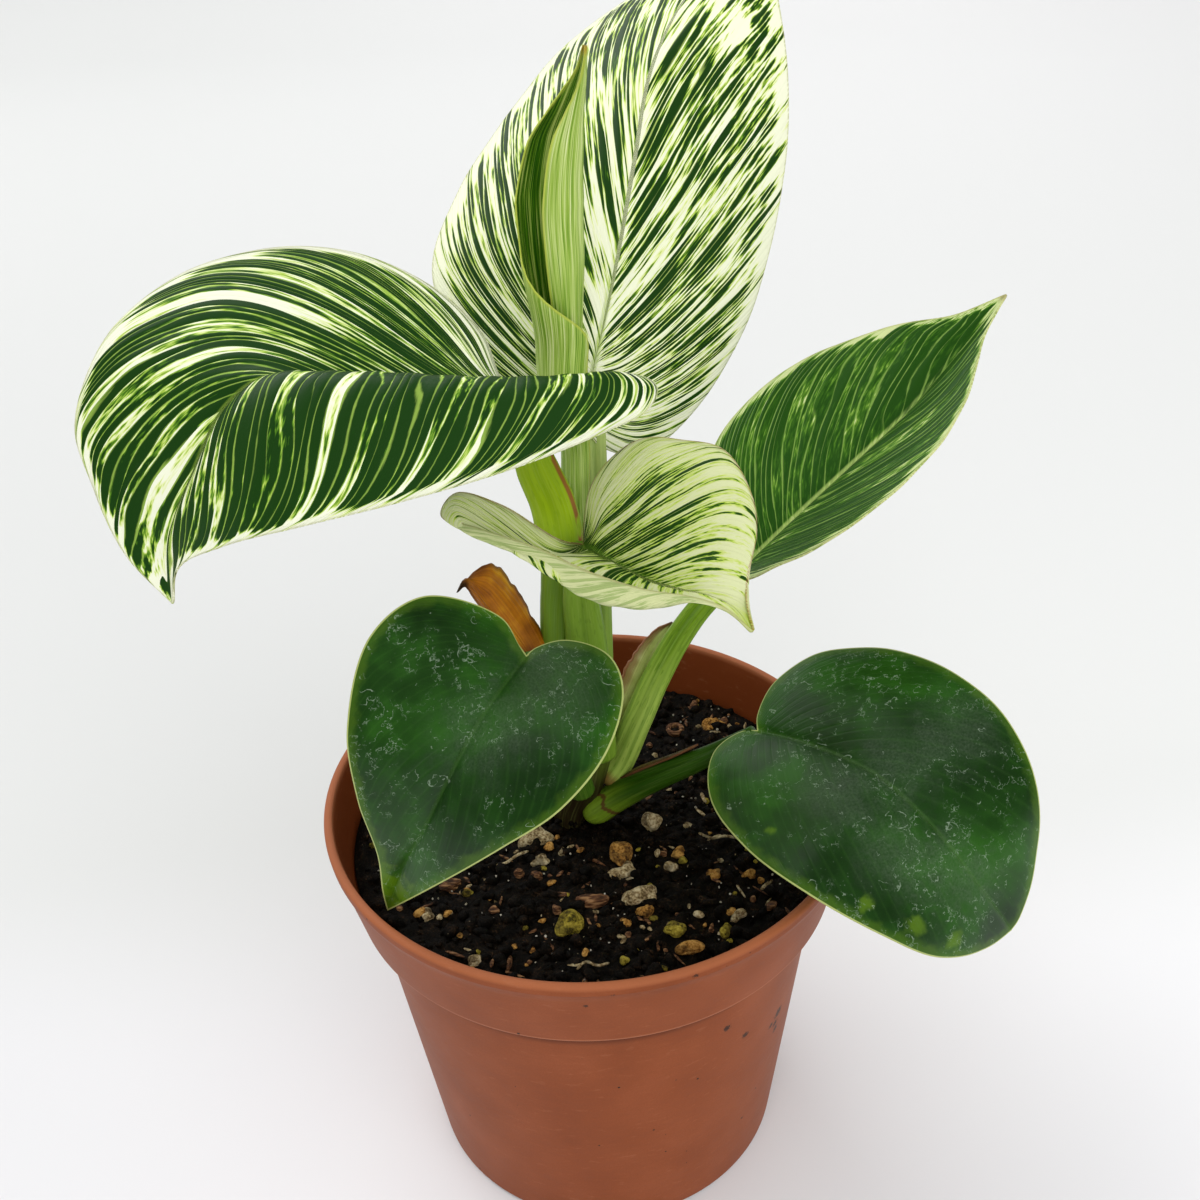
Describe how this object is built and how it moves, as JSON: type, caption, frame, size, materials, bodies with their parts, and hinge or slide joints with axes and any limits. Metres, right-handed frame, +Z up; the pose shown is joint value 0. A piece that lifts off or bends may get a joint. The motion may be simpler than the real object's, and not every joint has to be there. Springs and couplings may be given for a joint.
{
  "type": "potted philodendron birkin house plant",
  "caption": "Small variegated philodendron birkin with broad heart-shaped leaves and a rolled new leaf, growing in peat soil in a plain round nursery pot.",
  "frame": {"origin": "centre of the pot's underside, on the surface it stands on", "axes": "+Z up the pot's axis to the leaf tips, -Y the plant's front, +X to its right"},
  "size_m": [0.1872, 0.152, 0.2604],
  "materials": {
    "pot_plastic": "satin",
    "peat": "matte",
    "stem": "satin",
    "petiole": "satin",
    "lime_petiole": "satin",
    "dark_petiole": "satin",
    "cream_leaf": "satin",
    "striped_leaf": "satin",
    "lime_leaf": "satin",
    "pinstriped_leaf": "satin",
    "green_leaf": "satin",
    "new_leaf": "satin",
    "dry_sheath": "matte",
    "papery_sheath": "matte"
  },
  "bodies": {
    "root": {"pot": "pot_plastic", "soil": "peat", "stem": "stem", "middle_leaf_petiole": "petiole", "left_leaf_petiole": "lime_petiole", "upper_leaf_petiole": "petiole", "right_leaf_petiole": "petiole", "front_left_leaf_petiole": "petiole", "front_right_leaf_petiole": "dark_petiole", "upper_leaf": "cream_leaf", "left_leaf": "striped_leaf", "middle_leaf": "lime_leaf", "right_leaf": "pinstriped_leaf", "front_left_leaf": "green_leaf", "front_right_leaf": "green_leaf", "rolled_leaf": "new_leaf", "dried_sheath": "dry_sheath", "right_leaf_sheath": "papery_sheath", "front_right_leaf_sheath": "papery_sheath"}
  },
  "joints": []
}
